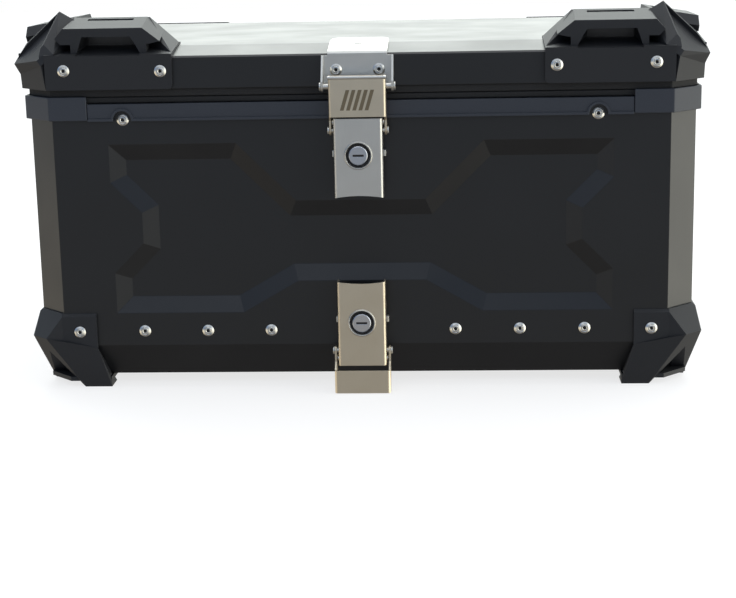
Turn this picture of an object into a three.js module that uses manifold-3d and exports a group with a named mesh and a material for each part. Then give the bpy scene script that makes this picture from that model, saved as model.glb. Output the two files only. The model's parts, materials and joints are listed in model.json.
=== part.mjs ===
// Hard top case for a motorcycle rack: a folded sheet body, a hinged lid, moulded corner guards and
// two lever latches. Millimetres, +Z up, the front faces -Y. The origin is under the middle of the
// overall box, on the plane of the feet.
import * as THREE from "three";
import { mergeVertices } from "three/addons/utils/BufferGeometryUtils.js";
import { ConvexGeometry } from "three/addons/geometries/ConvexGeometry.js";
import Module from "manifold-3d";

const wasm = await Module();
wasm.setup();

// ---------------------------------------------------------------- driving dimensions
const gap = 0.3; // between touching pieces
const over = 5; // how far a cutting solid runs past what it cuts
const far = 400; // beyond the whole case

const body = {
  width: 554,
  depth: 370,
  corner: 23, // leg of the 45 degree vertical corners
  sheet: 2,
  bottom: 9, // height of the floor's underside over the ground
  fold: 37.4, // height where the walls start to lean in
  lean: 15, // how far the walls lean in at the bottom
  top: 239.4,
};

const emboss = {
  depth: 5,
  band: 13.5, // width of its sloping border
  sideMargin: 45.6,
  topMargin: 30.6,
  bottomMargin: 28.1,
  height: 143.3, // its outline is drawn this high and stretches with the panel
  front: { half: 208.4, hub: 53.6 }, // and this wide, with the hub's half width
  side: { half: 116.4, hub: 20 },
  upperRun: 48.5, // the diagonal from the hub up to the top edge
  lowerRun: 46.8,
  lowerRise: 26.8,
  upperShoulder: 31.8,
  lowerShoulder: 34.5,
  notch: 25.4, // how far the waist steps in
};

const pan = { upstand: 58 };

const rail = {
  skirt: 11, // how far it hangs down outside the wall
  cap: 2.9, // thickness over the wall's edge
  proud: 3,
  lip: 1.2, // extra height of the lower lip
  lipHeight: 2.2,
  innerLeg: 2.2,
  innerDrop: 7,
  notchRadius: 7.5,
  notchBead: 2,
};

const rimCorner = { reach: 53, proud: 4, above: 6.1, drop: 10.2 };
const gasket = { width: 8.5, inset: 0.5, height: 5.2 };

const lid = {
  sheet: 1.8,
  proud: 2.5,
  skirtDrop: 5.7, // from the rim's seat up to the skirt's lower edge
  wall: 25.5,
  round: 1.5,
  bevelRun: 34,
  bevelRise: 6,
};

const lidRim = { width: 14, floor: 6.5, upstand: 17, upstandWidth: 2.5 };

const guard = {
  reach: 125.5, // length of each arm from the body's corner planes
  breadth: 45, // how far the deck reaches over the lid
  rearBreadth: 20, // the same on the low rear pair
  proud: 5.5,
  lean: 1.5, // its face leans out by this at the top
  deck: 2.3, // thickness over the lid
  rise: 0.5, // its lower edge over the skirt's lower edge
  round: 4, // radius at the inner end of its face
};

// The horn on a front guard, as points [u, v, height]: u runs in from the side plane, v in from the
// front plane and the heights start at the deck's front edge.
const horn = {
  bend: [17.8, -6.5, -8.6], // where the flared lip leaves the wall, on the front
  sideBend: [-5.5, 18, -16.9],
  lip: [12, -4.5, -1.4], // upper edge of the flared lip
  sideLip: [-2.5, 12.5, -2.4],
  tip: [-9, 13, -7.9],
  foot: [29, -6.5, 0.8], // where the ridge's front face leaves the deck
  ridge: [19.6, 0.8, 8.4],
  apex: [28, 28, 33.6],
  back: [41, 30, 25.6],
  channel: 3.3, // depth of the hollow between its two ridges
  rim: 1.3, // width of the ridges' crests
};

// A strap loop stands on an arm, measured along it from the corner and up from the deck's front edge.
const loop = {
  face: 2, // its face stands this far in front of the body's plane
  outer: 42.2, // outer sides of its posts
  inner: 104.8,
  beakOut: 29.4,
  beakOutTip: 13,
  beakIn: 115.9,
  beakInTip: 9.9,
  beakLow: 7.9, // underside of the beaks
  shoulderOut: 36.5,
  shoulderIn: 101.8,
  crest: 20.9,
  climb: 6.7, // its top rises by this towards the back
  back: 38,
  backDraft: 2,
  window: { low: [46.8, 99.8], high: [51.9, 91.7], sill: -1.2, top: 14 },
  slot: { from: 26, to: 32, ends: [51.2, 89.7], floor: 6 },
  buttress: 14, // how far the arm's end wedge reaches under the loop
};

const foot = {
  reach: 51,
  proud: 3,
  top: 65.7,
  bevel: 2.5,
  bumperProud: 6.5,
  bumperSide: 8,
  bumper: 45,
  break: 36,
  padFrom: 37,
  padTo: 60,
  padFront: 4,
  padDepth: 21,
  padHeight: 5,
};

const rivet = {
  head: 5,
  dome: 1.7,
  shank: 2.3,
  hole: 1.3,
  tail: 0.7, // behind the last sheet
  play: 0.3,
};
const rivetRow = { height: 50, first: 77.6, pitch: 53.8, perSide: 3 };
const footRivet = { fromSide: 36.6 };
const rimRivet = { fromSide: 82, drop: 10 };

const hinge = {
  across: 110,
  width: 60,
  knuckle: 4.5,
  pin: 2.2,
  pinPlay: 0.3,
  proud: 8,
  leaf: 2,
  bodyLeaf: 34,
  lidLeaf: 20,
  webDrop: 8, // where the body leaf's web leaves its plate
  lidWeb: 6, // and the lid leaf's
};

const rearHook = { width: 90, plate: 2, top: 78, hookOut: 9, hookIn: 16, rise: 6, ground: 2 };

// A latch is drawn round its lever pivot: y points to the wall, the lever hangs down along -Z.
const latch = {
  sheet: 1.5,
  bend: 2.5,
  standOff: 12, // the pivot stands this far off the panel
  leverWidth: 40,
  leverFace: 7.5, // from the pivot out to the lever's face
  leverBack: 4,
  endHollow: 1.7,
  pinRadius: 2,
  pinPlay: 0.3,
  linkPlay: 1.8, // between the lever's sides and the link's
  linkFace: 8,
  linkOffset: 0.8, // the link pivot lies this far behind the lever pivot
  linkDrop: 6.5, // and this far below it
  basePlate: 1.7,
  catchFrom: 8,
  catchHeight: 5,
  catchLip: 1.4,
  catchOver: 2, // the catches stand this far out beside the lever
  eye: 4, // radius of the link's eyes
  earLength: 14, // of the base's ears along the wall
  ear: 3.5, // their radius about the pivot
  linkHead: 1.3,
  linkHeadOver: 1.2,
  catchPlate: 1.2,
  catchBack: 5.3,
  camLength: 28,
  camWidth: 8,
  camBack: 3.2,
};

const upperLatch = {
  drop: 13.4,
  leverOver: 3.6,
  leverLength: 64.6,
  lock: 26.2,
  plateFrom: 2.1,
  plateTo: 42,
};
const lowerLatch = {
  rise: 19.3,
  leverOver: 5,
  leverLength: 71.5,
  lock: 31.8,
  plateFrom: -11,
  plateTo: 47,
};
const upperLink = { top: 38.5, bottom: 5 };
const lowerLink = { face: 12, top: 8.3, bottom: 27.6, lip: 9 };

const lock = {
  bezel: 11,
  bezelProud: 1.2,
  neck: 9.4,
  plug: 7.7,
  plugProud: 1.5,
  shaft: 3.5,
  slot: 9,
  slotWide: 1.6,
  slotDeep: 2,
};

const bracket = {
  sheet: 1.6,
  over: 0.9, // wider than the link by this on each side
  earPlay: 4.4, // between the link and the ears
  rear: 62,
  rearWidth: 30,
  shoulder: 26,
  keeperHeight: 29.2, // keeper pins over the upper lever pivot
  keeperRadius: 2.4,
  keeperPlay: 0.5,
  keeperHead: 1.2,
  headOver: 1.3,
  lift: 0.45, // clear of the lid's top
};

// ---------------------------------------------------------------- derived places
const halfWidth = body.width / 2;
const halfDepth = body.depth / 2;
const front = -halfDepth;
const railTop = body.top + gap + rail.cap;
const gasketTop = railTop + gap + gasket.height;
const lidSeat = gasketTop + gap;
const lidBottom = lidSeat + lid.skirtDrop;
const lidEdge = lidBottom + lid.wall;
const lidTop = lidEdge + lid.round + lid.bevelRise;
const deckFront = lidEdge + lid.round + guard.deck;
const deckTop = lidTop + guard.deck;
const guardBottom = lidBottom + guard.rise;
const hingeHeight = lidSeat;
const linkWidth = latch.leverWidth + 2 * (latch.sheet + latch.linkPlay);
const bracketWidth = linkWidth + 2 * bracket.over;
const wingWidth = linkWidth + 2 * (bracket.earPlay + bracket.sheet);
const upperPivot = body.top - upperLatch.drop;
const lowerPivot = body.bottom + lowerLatch.rise;
const leverInner = latch.leverWidth / 2 - latch.sheet;
const linkInner = linkWidth / 2 - latch.sheet;
const corners = [
  ["front_left", -1, 1],
  ["front_right", 1, 1],
  ["rear_left", -1, -1],
  ["rear_right", 1, -1],
];
const sides = [
  ["left", -1],
  ["right", 1],
];

// ---------------------------------------------------------------- finishes
function finish(colour, roughness, metalness) {
  return new THREE.MeshStandardMaterial({ color: colour, roughness, metalness });
}

const finishes = {
  coat: () => finish(0x2a2b2d, 0.5, 0.2),
  plastic: () => finish(0x26262a, 0.6, 0),
  rim: () => finish(0x2d323b, 0.55, 0),
  rubber: () => finish(0x131314, 0.8, 0),
  stainless: () => finish(0xaaa79e, 0.35, 1),
  aluminium: () => finish(0xc9c9c6, 0.35, 1),
};

// ---------------------------------------------------------------- solids
function solidOf(geometry) {
  const bare = geometry.index ? geometry.toNonIndexed() : geometry;
  bare.deleteAttribute("normal");
  bare.deleteAttribute("uv");
  const merged = mergeVertices(bare, 1e-4);
  return new wasm.Manifold(
    new wasm.Mesh({
      numProp: 3,
      vertProperties: new Float32Array(merged.attributes.position.array),
      triVerts: new Uint32Array(merged.index.array),
    }),
  );
}

function geometryOf(solid) {
  const mesh = solid.getMesh();
  const geometry = new THREE.BufferGeometry();
  geometry.setAttribute("position", new THREE.BufferAttribute(mesh.vertProperties, 3));
  geometry.setIndex(new THREE.BufferAttribute(mesh.triVerts, 1));
  geometry.computeVertexNormals();
  return geometry;
}

function hull(points) {
  return solidOf(new ConvexGeometry(points.map((point) => new THREE.Vector3(...point))));
}

function box(x0, x1, y0, y1, z0, z1) {
  const geometry = new THREE.BoxGeometry(x1 - x0, y1 - y0, z1 - z0);
  return solidOf(geometry.translate((x0 + x1) / 2, (y0 + y1) / 2, (z0 + z1) / 2));
}

// The frame in which an outline is drawn, and the direction in which it is extruded.
const extrudeFrames = {
  x: [new THREE.Vector3(0, 1, 0), new THREE.Vector3(0, 0, 1), new THREE.Vector3(1, 0, 0)],
  y: [new THREE.Vector3(0, 0, 1), new THREE.Vector3(1, 0, 0), new THREE.Vector3(0, 1, 0)],
  z: [new THREE.Vector3(1, 0, 0), new THREE.Vector3(0, 1, 0), new THREE.Vector3(0, 0, 1)],
};

// An outline is [y, z] points along x, [z, x] points along y, or [x, y] points along z.
function extruded(axis, outline, from, to, curveSegments = 6) {
  const drawn = outline instanceof THREE.Shape;
  const shape = drawn ? outline : new THREE.Shape(outline.map((p) => new THREE.Vector2(...p)));
  const geometry = new THREE.ExtrudeGeometry(shape, { depth: to - from, bevelEnabled: false, curveSegments });
  geometry.translate(0, 0, from);
  return solidOf(geometry.applyMatrix4(new THREE.Matrix4().makeBasis(...extrudeFrames[axis])));
}

// A round bar along an axis; its centre is given in the outline coordinates of that axis.
function bar(axis, centre, radius, from, to, segments = 24) {
  const shape = new THREE.Shape();
  shape.absarc(centre[0], centre[1], radius, 0, Math.PI * 2, false);
  return extruded(axis, shape, from, to, segments / 2);
}

// A solid between two outlines with the same number of points, each [x, z] in its own plane of y.
function lofted(outlines, stations) {
  const count = outlines[0].length;
  const positions = [];
  outlines.forEach((outline, i) => outline.forEach(([x, z]) => positions.push(x, stations[i], z)));
  const faces = [];
  for (let i = 0; i + 1 < outlines.length; i++) {
    for (let j = 0; j < count; j++) {
      const a = i * count + j;
      const b = i * count + ((j + 1) % count);
      faces.push(a, b, b + count, a, b + count, a + count);
    }
  }
  const caps = [outlines[0], outlines[outlines.length - 1]].map((outline) =>
    THREE.ShapeUtils.triangulateShape(outline.map((p) => new THREE.Vector2(...p)), []),
  );
  caps[0].forEach(([a, b, c]) => faces.push(a, c, b));
  const last = (outlines.length - 1) * count;
  caps[1].forEach(([a, b, c]) => faces.push(last + a, last + b, last + c));
  const geometry = new THREE.BufferGeometry();
  geometry.setAttribute("position", new THREE.Float32BufferAttribute(positions, 3));
  geometry.setIndex(faces);
  const made = solidOf(geometry);
  if (made.volume() > 0) return made;
  for (let i = 0; i < faces.length; i += 3) [faces[i + 1], faces[i + 2]] = [faces[i + 2], faces[i + 1]];
  geometry.setIndex(faces);
  return solidOf(geometry);
}

function turned(profile, segments = 24) {
  return solidOf(new THREE.LatheGeometry(profile.map((p) => new THREE.Vector2(...p)), segments));
}

function joined(solids) {
  return solids.reduce((sum, solid) => sum.add(solid));
}

// ---------------------------------------------------------------- the chamfered plan
// The corners of the body's plan, moved in by inset (negative is proud of it), at one height.
function ring(inset, z) {
  const x = halfWidth - inset;
  const y = halfDepth - inset;
  const leg = body.corner - inset * (2 - Math.SQRT2);
  const quarter = [
    [x, y - leg],
    [x - leg, y],
  ];
  return [
    [1, 1],
    [-1, 1],
    [-1, -1],
    [1, -1],
  ].flatMap(([sx, sy]) => quarter.map(([px, py]) => [sx * px, sy * py, z]));
}

// A solid through rings given as [inset, height] pairs.
function stacked(levels) {
  return hull(levels.flatMap(([inset, z]) => ring(inset, z)));
}

// How far the body's wall leans in at a height.
function leanAt(z) {
  return z >= body.fold ? 0 : (body.lean * (body.fold - z)) / (body.fold - body.bottom);
}

const leanStretch = Math.hypot(1, body.lean / (body.fold - body.bottom));

// The body's outer form moved in by offset, from a height to another.
function bodyForm(offset, from, to) {
  const levels = [[leanAt(from) + offset * (from < body.fold ? leanStretch : 1), from]];
  if (from < body.fold) levels.push([offset, body.fold]);
  levels.push([offset, to]);
  return stacked(levels);
}

// The lid's outer form grown by offset.
function lidForm(offset, from = lidBottom) {
  return stacked([
    [-lid.proud - offset, from],
    [-lid.proud - offset, lidEdge],
    [-lid.proud + lid.round - offset, lidEdge + lid.round + offset * 0.5],
    [lid.bevelRun, lidTop + offset],
  ]);
}

// ---------------------------------------------------------------- pressed panels
function embossOutline(drawn, half, bottom, top) {
  const across = half / drawn.half;
  const up = (top - bottom) / emboss.height;
  const height = emboss.height;
  const right = [
    [drawn.hub + emboss.lowerRun, 0],
    [drawn.half, 0],
    [drawn.half, emboss.lowerShoulder],
    [drawn.half - emboss.notch, emboss.lowerShoulder + emboss.notch],
    [drawn.half - emboss.notch, height - emboss.upperShoulder - emboss.notch],
    [drawn.half, height - emboss.upperShoulder],
    [drawn.half, height],
    [drawn.hub + emboss.upperRun, height],
    [drawn.hub, height - emboss.upperRun],
  ];
  const left = right.map(([x, z]) => [-x, z]).reverse();
  const outline = [[drawn.hub, emboss.lowerRise], ...right, ...left, [-drawn.hub, emboss.lowerRise]];
  return outline.map(([x, z]) => [x * across, bottom + z * up]);
}

// Every corner of a closed outline moved so that its edges shift in by distance.
function offsetOutline(points, distance) {
  return points.map((point, i) => {
    const here = new THREE.Vector2(...point);
    const before = new THREE.Vector2(...points[(i + points.length - 1) % points.length]);
    const after = new THREE.Vector2(...points[(i + 1) % points.length]);
    const a = here.clone().sub(before).normalize();
    const b = after.clone().sub(here).normalize();
    const normalA = new THREE.Vector2(-a.y, a.x);
    const normalB = new THREE.Vector2(-b.y, b.x);
    const mitre = normalA.clone().add(normalB).normalize();
    const shift = distance / mitre.dot(normalA);
    return [here.x + mitre.x * shift, here.y + mitre.y * shift];
  });
}

// The pressed form of one panel, pushed in from the panel's face by offset.
function pressing(drawn, half, panelHalf, turn, offset) {
  const run = 0.5; // how far it starts outside the panel
  const outline = embossOutline(drawn, half, body.fold + emboss.bottomMargin, body.top - emboss.topMargin);
  const outlines = [
    offsetOutline(outline, (-run * emboss.band) / emboss.depth),
    offsetOutline(outline, emboss.band),
  ];
  const made = lofted(outlines, [offset - run - panelHalf, offset + emboss.depth - panelHalf]);
  return solidOf(geometryOf(made).rotateZ(turn));
}

const pressedFront = halfWidth - body.corner - emboss.sideMargin;
const pressedSide = halfDepth - body.corner - emboss.sideMargin;
const panels = [
  [emboss.front, pressedFront, halfDepth, 0],
  [emboss.side, pressedSide, halfWidth, Math.PI / 2],
  [emboss.front, pressedFront, halfDepth, Math.PI],
  [emboss.side, pressedSide, halfWidth, -Math.PI / 2],
];

// ---------------------------------------------------------------- case
const rowRivets = sides.flatMap(([side, sign]) =>
  Array.from({ length: rivetRow.perSide }, (_, i) => [
    `row_rivet_${side}_${i + 1}`,
    sign * (rivetRow.first + i * rivetRow.pitch),
    rivetRow.height,
    0,
  ]),
);
const footRivets = sides.map(([side, sign]) => [
  `foot_rivet_${side}`,
  sign * (halfWidth - footRivet.fromSide),
  rivetRow.height,
  foot.proud,
]);
const rimRivets = sides.map(([side, sign]) => [
  `rim_rivet_${side}`,
  sign * (halfWidth - rimRivet.fromSide),
  body.top - rimRivet.drop,
  0,
]);
const frontRivets = [...rowRivets, ...footRivets, ...rimRivets];

function rivetHoles() {
  return joined(
    frontRivets.map(([, x, z]) => bar("y", [z, x], rivet.shank + rivet.play, -far, 0, 12)),
  );
}

function bodyShell() {
  const inside = bodyForm(body.sheet, body.bottom - over, body.top + over);
  let shell = bodyForm(0, body.bottom, body.top).subtract(inside);
  for (const [drawn, half, panelHalf, turn] of panels) {
    shell = shell.add(pressing(drawn, half, panelHalf, turn, body.sheet));
    shell = shell.subtract(pressing(drawn, half, panelHalf, turn, 0));
  }
  return shell.subtract(rivetHoles());
}

function bottomPan() {
  const outside = bodyForm(body.sheet + gap, body.bottom, pan.upstand);
  const inside = bodyForm(body.sheet * 2 + gap, body.bottom + body.sheet, pan.upstand + over);
  return outside.subtract(inside).subtract(rivetHoles());
}

// The moulded section that clips over the wall's edge, all the way round.
function rimSection(proud, skirtBottom, skirtTop) {
  const outerSkirt = stacked([
    [-proud, skirtBottom],
    [-proud, skirtTop],
  ]).subtract(
    stacked([
      [-gap, skirtBottom - over],
      [-gap, skirtTop + over],
    ]),
  );
  const cap = stacked([
    [-proud, body.top + gap],
    [-proud, railTop],
  ]).subtract(
    stacked([
      [body.sheet + gap + rail.innerLeg, body.top],
      [body.sheet + gap + rail.innerLeg, railTop + over],
    ]),
  );
  const innerLeg = stacked([
    [body.sheet + gap, body.top - rail.innerDrop],
    [body.sheet + gap, railTop],
  ]).subtract(
    stacked([
      [body.sheet + gap + rail.innerLeg, body.top - rail.innerDrop - over],
      [body.sheet + gap + rail.innerLeg, railTop + over],
    ]),
  );
  return outerSkirt.add(cap).add(innerLeg);
}

function rimCornerPiece() {
  const skirtTop = railTop + rimCorner.above;
  const upstandPlay = 1.2;
  const section = rimSection(rimCorner.proud, body.top - rimCorner.drop, skirtTop).subtract(
    stacked([
      [-upstandPlay, railTop],
      [-upstandPlay, skirtTop + over],
    ]),
  );
  const region = box(halfWidth - rimCorner.reach, far, -far, front + rimCorner.reach, 0, far);
  return section.intersect(region);
}

function railRing() {
  const lower = body.top - rail.skirt;
  const lip = stacked([
    [-rail.proud - rail.lip, lower],
    [-rail.proud - rail.lip, lower + rail.lipHeight],
  ]).subtract(
    stacked([
      [-gap, lower - over],
      [-gap, lower + rail.lipHeight + over],
    ]),
  );
  return rimSection(rail.proud, lower, railTop).add(lip);
}

// Round notches in the front rail, with a raised bead, leave the rim rivets free.
function notchedRail(straight) {
  const face = front - rail.proud - rail.lip;
  const lower = body.top - rail.skirt;
  let made = straight;
  for (const [, x, z] of rimRivets) {
    const bead = bar("y", [z, x], rail.notchRadius + rail.notchBead, face, front - gap, 32);
    made = made.add(bead.intersect(box(-far, far, face, front, lower, railTop)));
    made = made.subtract(bar("y", [z, x], rail.notchRadius, face - over, front + gap, 32));
  }
  return made;
}

function railPieces() {
  const whole = railRing();
  const acrossEnd = halfWidth - rimCorner.reach - gap;
  const alongEnd = halfDepth - rimCorner.reach - gap;
  const frontRail = whole.intersect(box(-acrossEnd, acrossEnd, -far, 0, 0, far));
  let rearRail = whole.intersect(box(-acrossEnd, acrossEnd, 0, far, 0, far));
  for (const [, sign] of sides) {
    const centre = sign * hinge.across;
    const reach = hinge.width / 2 + gap;
    rearRail = rearRail.subtract(
      box(centre - reach, centre + reach, halfDepth, far, 0, body.top + gap),
    );
    rearRail = rearRail.subtract(
      box(centre - reach, centre + reach, halfDepth + gap, far, 0, railTop + over),
    );
  }
  return {
    front: notchedRail(frontRail),
    rear: rearRail,
    left: whole.intersect(box(-far, 0, -alongEnd, alongEnd, 0, far)),
    right: whole.intersect(box(0, far, -alongEnd, alongEnd, 0, far)),
  };
}

function gasketRing() {
  const z0 = railTop + gap;
  return stacked([
    [gasket.inset, z0],
    [gasket.inset, gasketTop],
  ]).subtract(
    stacked([
      [gasket.inset + gasket.width, z0 - over],
      [gasket.inset + gasket.width, gasketTop + over],
    ]),
  );
}

// Points of a corner piece are [u, v, z]: u in from the side plane, v in from the front plane.
function cornerPoints(points) {
  return points.map(([u, v, z]) => [halfWidth - u, front + v, z]);
}

function bothWays(points) {
  return [...points, ...points.map(([u, v, z]) => [v, u, z])];
}

function cornerBox(u0, u1, v0, v1, z0, z1) {
  return box(halfWidth - u1, halfWidth - u0, front + v0, front + v1, z0, z1);
}

function chamferEnd(proud) {
  return body.corner + proud * (2 - Math.SQRT2) - proud;
}

function footGuard() {
  const bend = chamferEnd(foot.proud);
  const face = -foot.proud;
  const bumper = [foot.bumperSide, -foot.bumperProud, foot.bumper];
  const arm = [
    [face, foot.break],
    [face, foot.top - foot.bevel],
    [face + foot.bevel, foot.top],
    [body.corner, foot.break],
    [body.corner, foot.top],
  ].flatMap(([v, z]) => [
    [bend, v, z],
    [foot.reach, v, z],
  ]);
  const corner = bothWays([
    [bend, face, foot.break],
    [bend, face, foot.top - foot.bevel],
    [bend, face + foot.bevel, foot.top],
    [body.corner, body.corner, foot.top],
    bumper,
  ]);
  const otherArm = arm.map(([u, v, z]) => [v, u, z]);
  const wall = joined([arm, otherArm, corner].map((part) => hull(cornerPoints(part))));
  const padBack = foot.padFront + foot.padDepth;
  const toe = [
    [bend, face, foot.break],
    [foot.reach, face, foot.break],
    bumper,
    [-foot.bumperProud, foot.bumperSide, foot.bumper],
    [foot.padFrom, foot.padFront, 0],
    [foot.padTo, foot.padFront, 0],
    [foot.padFrom, padBack, 0],
    [foot.padTo, padBack, 0],
    [foot.padFrom, foot.padFront, foot.padHeight],
    [foot.padTo, foot.padFront, foot.padHeight],
    [foot.padFrom, padBack, foot.break],
  ];
  const toes = hull(cornerPoints(toe)).add(hull(cornerPoints(toe.map(([u, v, z]) => [v, u, z]))));
  const { padFront, padTo, padHeight } = foot;
  const sole = cornerBox(padFront, padTo, padFront, padTo, padHeight, body.bottom - gap);
  const soleRegion = stacked([
    [foot.padFront, 0],
    [foot.padFront, body.bottom],
  ]);
  const keep = bodyForm(-gap, body.bottom - gap, far);
  return wall.add(toes).add(sole.intersect(soleRegion)).subtract(keep).subtract(rivetHoles());
}

// A rivet whose head seats proud of the body's wall and whose shank passes the wall and the pan.
function rivetSolid(proud) {
  const tail = proud + 2 * body.sheet + gap + rivet.tail;
  return turned(
    [
      [0, -tail],
      [rivet.shank, -tail],
      [rivet.shank, gap],
      [rivet.head, gap],
      [rivet.head * 0.96, gap + rivet.dome * 0.35],
      [rivet.head * 0.75, gap + rivet.dome * 0.8],
      [rivet.head * 0.4, gap + rivet.dome],
      [rivet.hole, gap + rivet.dome],
      [rivet.hole, gap + rivet.dome * 0.4],
      [0, gap + rivet.dome * 0.4],
    ],
    12,
  );
}

function hingeBodyLeaf() {
  const back = halfDepth + gap;
  const axisY = halfDepth + hinge.proud;
  const third = hinge.width / 3;
  const half = hinge.width / 2;
  const plate = box(-half, half, back, back + hinge.leaf, body.top - hinge.bodyLeaf, body.top);
  const middle = third / 2 - gap;
  const web = hull([
    [-middle, back, body.top - hinge.webDrop],
    [middle, back, body.top - hinge.webDrop],
    [-middle, back, body.top + gap],
    [middle, back, body.top + gap],
    [-middle, axisY, hingeHeight - hinge.knuckle],
    [middle, axisY, hingeHeight - hinge.knuckle],
    [-middle, axisY, hingeHeight],
    [middle, axisY, hingeHeight],
  ]);
  const knuckle = bar("x", [axisY, hingeHeight], hinge.knuckle, -middle, middle, 20);
  const bore = bar("x", [axisY, hingeHeight], hinge.pin + hinge.pinPlay, -third, third, 20);
  return plate.add(web).add(knuckle).subtract(bore);
}

function hingeLidLeaf() {
  const back = halfDepth + lid.proud + gap;
  const axisY = halfDepth + hinge.proud;
  const third = hinge.width / 3;
  const plate = box(
    -hinge.width / 2,
    hinge.width / 2,
    back,
    back + hinge.leaf,
    lidBottom,
    lidBottom + hinge.lidLeaf,
  );
  const ends = sides.map(([, sign]) => {
    const a = sign * (third / 2 + gap);
    const b = (sign * hinge.width) / 2;
    const [x0, x1] = [Math.min(a, b), Math.max(a, b)];
    const web = hull([
      [x0, back, lidBottom + hinge.lidWeb],
      [x1, back, lidBottom + hinge.lidWeb],
      [x0, back, lidBottom],
      [x1, back, lidBottom],
      [x0, axisY, hingeHeight],
      [x1, axisY, hingeHeight],
      [x0, axisY + hinge.knuckle, hingeHeight],
      [x1, axisY + hinge.knuckle, hingeHeight],
    ]);
    return web.add(bar("x", [axisY, hingeHeight], hinge.knuckle, x0, x1, 20));
  });
  const bore = bar("x", [axisY, hingeHeight], hinge.pin + hinge.pinPlay, -hinge.width, hinge.width, 20);
  return plate.add(joined(ends)).subtract(bore);
}

function rearHookPlate() {
  const back = halfDepth + gap;
  const lowest = rearHook.ground;
  const t = rearHook.plate;
  const outline = [
    [back, rearHook.top],
    [back, body.fold],
    [back + rearHook.hookOut, lowest + t + rearHook.rise],
    [back + rearHook.hookOut, lowest + t],
    [back - rearHook.hookIn, lowest + t],
    [back - rearHook.hookIn, lowest],
    [back + rearHook.hookOut + t, lowest],
    [back + rearHook.hookOut + t, lowest + t + rearHook.rise],
    [back + t, body.fold + t],
    [back + t, rearHook.top],
  ];
  return extruded("x", outline, -rearHook.width / 2, rearHook.width / 2);
}

// ---------------------------------------------------------------- lid
function lidShell() {
  const inner = stacked([
    [-lid.proud + lid.sheet, lidBottom - over],
    [-lid.proud + lid.sheet, lidEdge],
    [-lid.proud + lid.round + lid.sheet, lidEdge + lid.round - lid.sheet * 0.8],
    [lid.bevelRun, lidTop - lid.sheet],
  ]);
  return lidForm(0).subtract(inner);
}

function lidRimRing() {
  const outer = -lid.proud + lid.sheet + gap;
  const floorTop = lidSeat + lidRim.floor;
  const floor = stacked([
    [outer, lidSeat],
    [outer, floorTop],
  ]).subtract(
    stacked([
      [outer + lidRim.width, lidSeat - over],
      [outer + lidRim.width, floorTop + over],
    ]),
  );
  const upstand = stacked([
    [outer, lidSeat],
    [outer, lidSeat + lidRim.upstand],
  ]).subtract(
    stacked([
      [outer + lidRim.upstandWidth, lidSeat - over],
      [outer + lidRim.upstandWidth, lidSeat + lidRim.upstand + over],
    ]),
  );
  return floor.add(upstand);
}

const deckOnLid = (v) => {
  const share = Math.min(1, (v + lid.proud) / (lid.bevelRun + lid.proud));
  return lidEdge + lid.round + lid.bevelRise * share + guard.deck;
};

// One arm of a lid guard, along the front, with round corners at the inner end of its face.
function guardArm(breadth) {
  const bend = chamferEnd(guard.proud);
  const section = [
    [-guard.proud, guardBottom],
    [-guard.proud - guard.lean, deckFront],
    [Math.min(breadth, lid.bevelRun), deckOnLid(breadth)],
    [breadth, deckOnLid(breadth)],
    [breadth, lidEdge],
  ];
  const points = [bend, guard.reach].flatMap((u) => section.map(([v, z]) => [u, v, z]));
  const end = halfWidth - guard.reach;
  const r = guard.round;
  const face = new THREE.Shape();
  face.moveTo(guardBottom, halfWidth);
  face.lineTo(guardBottom, end + r);
  face.absarc(guardBottom + r, end + r, r, -Math.PI, -Math.PI / 2, false);
  face.lineTo(far, end);
  face.lineTo(far, halfWidth);
  return hull(cornerPoints(points)).intersect(extruded("y", face, -far, 0, 5));
}

// Exchanges u and v, which is a reflection in the corner's diagonal plane.
function mirroredOnDiagonal(solid) {
  const geometry = geometryOf(solid);
  const position = geometry.attributes.position;
  for (let i = 0; i < position.count; i++) {
    const u = halfWidth - position.getX(i);
    const v = position.getY(i) - front;
    position.setXY(i, halfWidth - v, front + u);
  }
  const index = geometry.index.array;
  for (let i = 0; i < index.length; i += 3) [index[i + 1], index[i + 2]] = [index[i + 2], index[i + 1]];
  return solidOf(geometry);
}

function strapLoop() {
  const low = deckFront + loop.beakLow;
  const crest = deckFront + loop.crest;
  const base = lidEdge;
  const outline = (inset, climb) => [
    [loop.outer + inset, base],
    [loop.outer + inset, low + climb],
    [(loop.beakOut + loop.outer) / 2 - loop.backDraft + inset, low + climb],
    [loop.beakOut + inset, deckFront + loop.beakOutTip + climb],
    [loop.shoulderOut + inset, crest + climb],
    [loop.shoulderIn - inset, crest + climb],
    [loop.beakIn - inset, deckFront + loop.beakInTip + climb],
    [loop.inner + loop.backDraft - inset, low + climb],
    [loop.inner - inset, low + climb],
    [loop.inner - inset, base],
  ];
  const sections = [outline(0, 0), outline(loop.backDraft, loop.climb)];
  return lofted(
    sections.map((section) => section.map(([u, z]) => [halfWidth - u, z])),
    [front - loop.face, front + loop.back],
  );
}

// A wedge closes the arm's inner end, from its front edge up to the back of the loop.
function endWedge() {
  const top = deckFront + loop.crest + loop.climb - gap;
  return hull(
    cornerPoints([
      [guard.reach, -loop.face, deckFront],
      [guard.reach, loop.back, deckOnLid(loop.back)],
      [guard.reach, loop.back, lidEdge],
      [loop.shoulderIn, loop.back, top],
      [loop.inner - loop.buttress, loop.back, top],
      [loop.inner - loop.buttress, loop.back, lidEdge],
      [loop.inner - loop.buttress, loop.slot.from, lidEdge],
      [guard.reach, -loop.face, lidEdge],
    ]),
  );
}

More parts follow.
